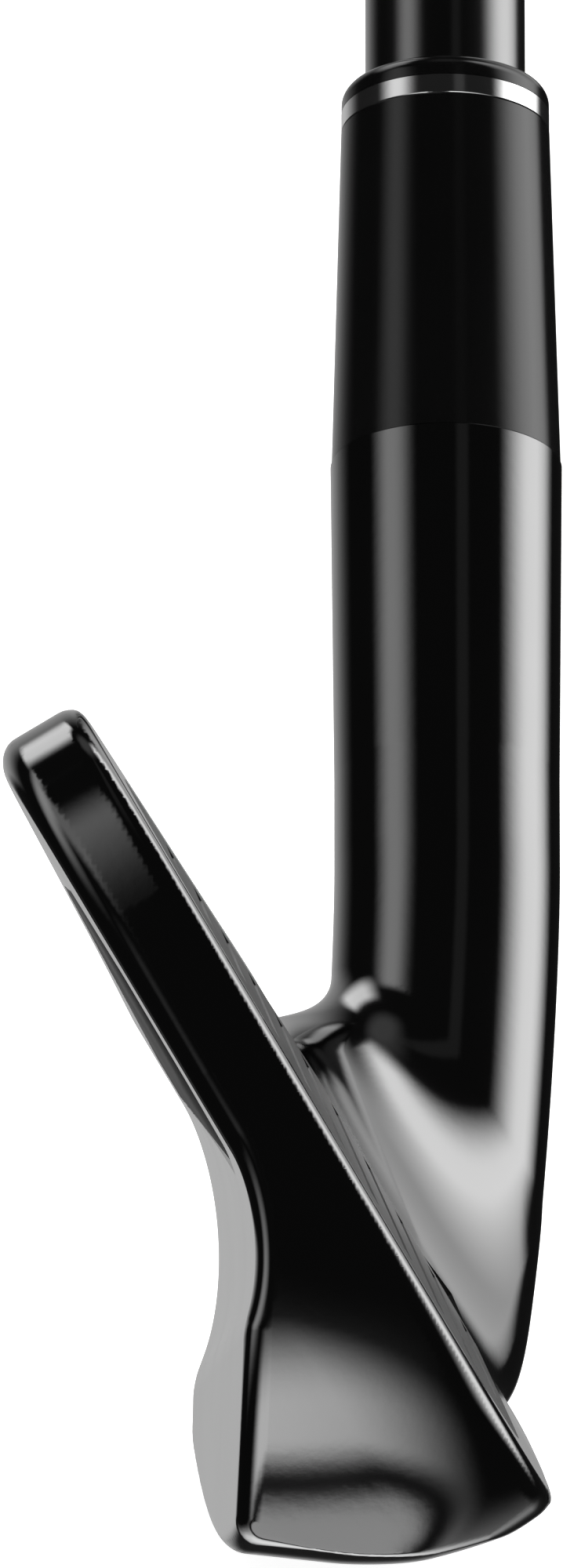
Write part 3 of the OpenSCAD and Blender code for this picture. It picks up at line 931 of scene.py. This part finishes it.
KEPT = {
    "face_plate": blasted_plating(),
    "foam_core": plain_material("cast_foam", (0.5, 0.4, 0.2, 1), (0.62, 0.52, 0.28, 1), 0.7),
    "toe_weight": plain_material("dense_metal", grey(0.3), grey(0.36), 0.4, metallic=1.0),
    "badge_pad": plain_material("black_foam_tape", grey(0.01), grey(0.02), 0.8),
    "hosel_epoxy": plain_material("cured_glue", (0.45, 0.38, 0.12, 1), (0.55, 0.47, 0.16, 1), 0.3),
    "tip_plug": plain_material("plug_plastic", (0.4, 0.24, 0.08, 1), (0.48, 0.3, 0.1, 1), 0.5),
    "grip_tape": plain_material("paper_tape", grey(0.6, 0.05), grey(0.7, 0.05), 0.8),
}
for node, material in KEPT.items():
    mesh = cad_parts[node].data
    mesh.materials.clear()
    mesh.materials.append(material)


# ---- Studio ----


def studio_world():
    """White behind the object, and round it a soft studio that only the surfaces see.

    Azimuth 0 is straight towards -Y, the toe's side, and rises towards +X, the face's side.
    from_back is 0 straight towards +Y, and rises towards +X too. Both are in degrees.
    """
    world = bpy.data.worlds.new("studio")
    bpy.context.scene.world = world
    world.use_nodes = True
    world.node_tree.nodes.clear()
    nodes = Nodes(world.node_tree)
    direction = nodes.add("ShaderNodeTexCoord").outputs["Generated"]
    x, y, z = nodes.add("ShaderNodeSeparateXYZ", Vector=direction).outputs

    def degrees(angle):
        return nodes.math("MULTIPLY", angle, 180 / math.pi)

    def between(value, start, full, last_full, end):
        return nodes.math("MULTIPLY", nodes.ramp(value, start, full), nodes.ramp(value, end, last_full))

    def light(strength, *limits):
        for limit in limits:
            strength = nodes.math("MULTIPLY", limit, strength)
        return strength

    azimuth = degrees(nodes.math("ARCTAN2", x, nodes.math("MULTIPLY", y, -1.0)))
    from_back = degrees(nodes.math("ARCTAN2", x, y))
    elevation = degrees(nodes.math("ARCSINE", z))
    downward = nodes.math("POWER", nodes.ramp(elevation, -12, -50), 2.0)
    parts = [
        # The strip at the left, which lights the left of the hosel, the ferrule and the shaft
        light(0.74, between(azimuth, -97, -76, -73, -43), between(elevation, -34, -8, 38, 50)),
        # A fainter spread between that strip and the front
        light(0.42, between(azimuth, -90, -50, -16, 3), between(elevation, -12, 8, 18, 34)),
        # The soft box at the right
        light(2.9, between(azimuth, 64, 100, 107, 135), between(elevation, -24, -8, 66, 80)),
        # A faint glow high in front
        light(0.03, between(azimuth, 6, 14, 22, 30), between(elevation, 20, 40, 66, 80)),
        # What the hollow between the hosel and the face sees beyond the soft box
        light(1.0, between(azimuth, 112, 132, 146, 172), between(elevation, 6, 14, 36, 60)),
        # Behind and to the left, at the blade's own height
        light(0.48, between(from_back, -58, -22, 2, 14), between(elevation, -13, -8, 20, 60)),
        # Low behind
        light(0.45, between(from_back, -35, -15, 15, 35), between(elevation, -66, -50, -30, -20)),
        # High at the back on the left, for the toe's top edge
        light(2.4, between(from_back, -92, -60, -32, -18), between(elevation, 28, 46, 54, 64)),
        # The white ground, for the lower part of the toe's wall; it fades towards both sides
        light(1.9, downward, nodes.ramp(elevation, -62.5, -56), between(x, -0.6, -0.2, 0.1, 0.62)),
        # Straight below
        light(1.05, nodes.ramp(elevation, -63.5, -68)),
        # Straight above
        light(0.15, nodes.ramp(elevation, 70, 84)),
        # All round
        0.012,
    ]
    total = parts[0]
    for part in parts[1:]:
        total = nodes.math("ADD", total, part)
    seen = nodes.add("ShaderNodeLightPath").outputs["Is Camera Ray"]
    around = nodes.add("ShaderNodeBackground", Color=(1, 1, 1, 1), Strength=total)
    behind = nodes.add("ShaderNodeBackground", Color=(1, 1, 1, 1), Strength=1.0)
    both = nodes.add("ShaderNodeMixShader", Fac=seen)
    nodes.feed(both.inputs[1], around.outputs[0])
    nodes.feed(both.inputs[2], behind.outputs[0])
    output = nodes.add("ShaderNodeOutputWorld")
    nodes.feed(output.inputs["Surface"], both.outputs[0])


FLOOR_SIZE = 12000


def floor():
    """A pale floor, which the camera sees as bright enough to run into the white behind it."""
    half = FLOOR_SIZE / 2
    corners = [(-half, -half, 0), (half, -half, 0), (half, half, 0), (-half, half, 0)]
    obj = new_object("studio_floor", corners, [(0, 1, 2, 3)])
    material, nodes, surface = new_material("pale_floor", Roughness=0.9)
    nodes.feed(surface.inputs["Base Color"], nodes.blend(nodes.noise(3.0), grey(0.8), grey(0.83)))
    seen = nodes.add("ShaderNodeLightPath").outputs["Is Camera Ray"]
    surface.inputs["Emission Color"].default_value = grey(1.0)
    nodes.feed(surface.inputs["Emission Strength"], nodes.math("MULTIPLY", seen, 0.9))
    obj.data.materials.append(material)
    obj.visible_glossy = False


def overhead_light():
    """A soft light from above for matt surfaces, which the polished ones don't mirror."""
    light = bpy.data.lights.new("overhead", "AREA")
    light.shape = "DISK"
    light.size = 0.9
    light.energy = 14
    obj = bpy.data.objects.new("overhead", light)
    obj.location = (0.0, -0.25, 1.5)
    obj.visible_camera = False
    obj.visible_glossy = False
    bpy.context.scene.collection.objects.link(obj)


CAMERA_AZ = math.radians(-2.75)
CAMERA_EL = math.radians(5.35)
CAMERA_ROLL = math.radians(1.4)
CAMERA_AT = Vector((-76.79, -1479.54, 181.62)) * MM


def camera():
    """A long lens from the toe's side, level with the head and turned so that the shaft stands upright."""
    data = bpy.data.cameras.new("camera")
    data.sensor_width = 36
    data.lens = 610
    data.clip_end = 100
    obj = bpy.data.objects.new("camera", data)
    bpy.context.scene.collection.objects.link(obj)
    bpy.context.scene.camera = obj
    level = math.cos(CAMERA_EL)
    back = Vector((math.sin(CAMERA_AZ) * level, -math.cos(CAMERA_AZ) * level, math.sin(CAMERA_EL)))
    right = Vector((math.cos(CAMERA_AZ), math.sin(CAMERA_AZ), 0))
    up = back.cross(right)
    turned_up = up * math.cos(CAMERA_ROLL) - right * math.sin(CAMERA_ROLL)
    turned_right = turned_up.cross(back)
    axes = Matrix((turned_right, turned_up, back)).transposed()
    obj.matrix_world = Matrix.Translation(CAMERA_AT) @ axes.to_4x4()


studio_world()
floor()
overhead_light()
camera()
bpy.context.scene.view_settings.view_transform = "Standard"

bpy.context.view_layer.update()
